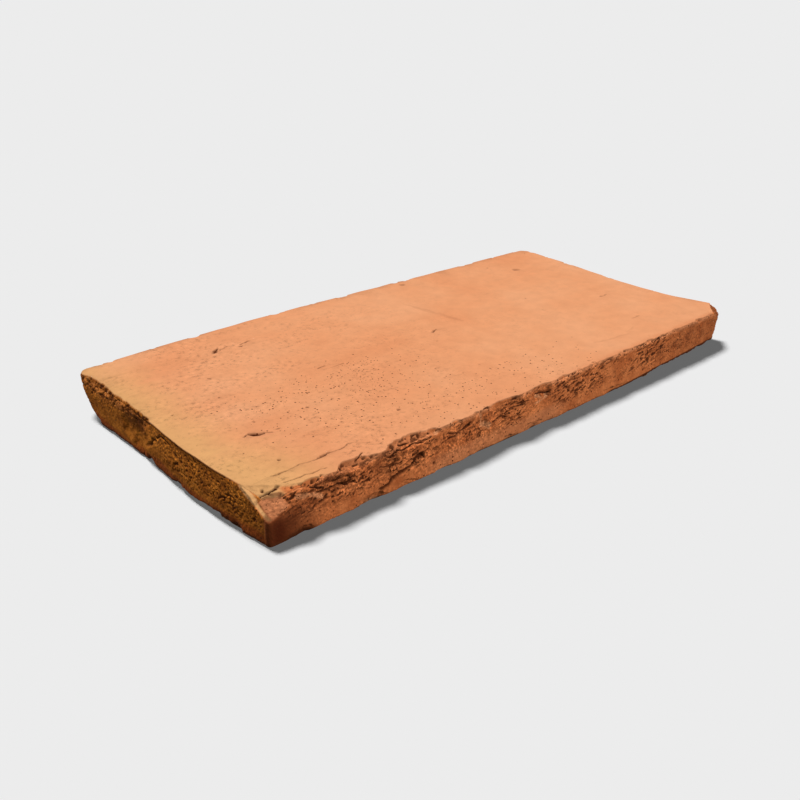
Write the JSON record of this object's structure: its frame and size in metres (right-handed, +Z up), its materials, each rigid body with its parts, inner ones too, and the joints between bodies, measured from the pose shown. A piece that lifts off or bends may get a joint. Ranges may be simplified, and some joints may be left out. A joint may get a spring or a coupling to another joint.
{
  "type": "terracotta tile",
  "caption": "Rectangular hand-moulded terracotta floor tile with a struck face, a hollowed right end, a chipped front arris and worn corners.",
  "frame": {"origin": "middle of the plan, on the bed that the tile lies on", "axes": "+X along the length, with the spalled corner at -X and -Y; +Z up out of the face"},
  "size_m": [0.2998, 0.1497, 0.02],
  "materials": {
    "terracotta": "matte"
  },
  "bodies": {
    "root": {"terracotta_tile": "terracotta"}
  },
  "joints": []
}
